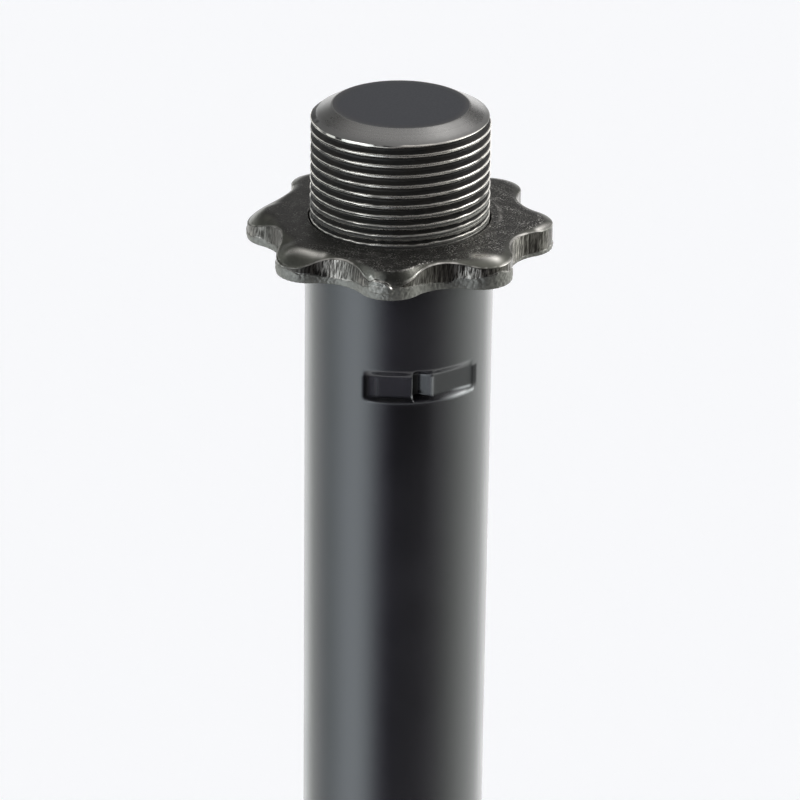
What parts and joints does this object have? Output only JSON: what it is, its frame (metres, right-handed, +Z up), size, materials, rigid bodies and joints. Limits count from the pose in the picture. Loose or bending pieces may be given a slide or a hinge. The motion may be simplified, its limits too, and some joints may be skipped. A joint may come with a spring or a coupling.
{
  "type": "desktop microphone stand",
  "caption": "Round-base desktop microphone stand with a telescoping tube held by a twist clutch, a crimped-in 5/8-inch threaded stud and a star-shaped lock nut.",
  "frame": {"origin": "centre of the underside, on the surface that the stand rests on", "axes": "+Z up along the tubes, towards the microphone thread; -Y towards the viewer of the picture, on the side of the visible crimp"},
  "size_m": [0.152, 0.152, 0.2878],
  "materials": {
    "casting_coat": "black textured powder coat over cast iron",
    "foot_rubber": "matte black",
    "bolt_zinc": "bright zinc plate",
    "spring_steel": "zinc-plated spring steel",
    "washer_zinc": "bright zinc plate",
    "turned_steel": "turned, bare",
    "tube_black": "satin black",
    "ferrule_black": "black, half gloss",
    "nylon": "natural nylon, translucent white",
    "barrel_black": "satin black",
    "grip_rubber": "matte black",
    "stud_steel": "blackened steel, worn bright on the thread's crests",
    "nut_steel": "stamped steel, blackened and tumbled"
  },
  "bodies": {
    "base": {"base_casting": "casting_coat", "base_foot_ring": "foot_rubber", "base_bolt": "bolt_zinc", "base_lock_washer": "spring_steel", "base_flat_washer": "washer_zinc", "tube_foot_plug": "turned_steel", "lower_tube": "tube_black", "clutch_ferrule": "ferrule_black"},
    "collet": {"clutch_collet": "nylon", "clutch_thrust_washer": "washer_zinc"},
    "barrel": {"clutch_barrel": "barrel_black", "clutch_grip": "grip_rubber"},
    "guide": {"guide_bush": "nylon"},
    "mast": {"upper_tube": "tube_black", "thread_stud": "stud_steel"},
    "nut": {"lock_nut": "nut_steel"}
  },
  "joints": [
    {"name": "mast_height", "type": "slide", "parent": "base", "child": "guide", "axis": [0, 0, 1], "range_m": [-0.0665, 0.044]},
    {"name": "mast_swivel", "type": "hinge", "parent": "guide", "child": "mast", "pos_m": [0, 0, 0.1318], "axis": [0, 0, 1], "continuous": true},
    {"name": "nut_travel", "type": "slide", "parent": "mast", "child": "nut", "axis": [0, 0, 1], "range_m": [0, 0.0094]},
    {"name": "clutch_lift", "type": "slide", "parent": "base", "child": "collet", "axis": [0, 0, 1], "range_m": [0, 0.001]},
    {"name": "clutch_twist", "type": "hinge", "parent": "collet", "child": "barrel", "pos_m": [0, 0, 0.1848], "axis": [0, 0, 1], "range_deg": [0, 180]}
  ],
  "couplings": [
    {"joint": "clutch_twist", "follows": "clutch_lift", "rad_per_m": 3141.6}
  ]
}
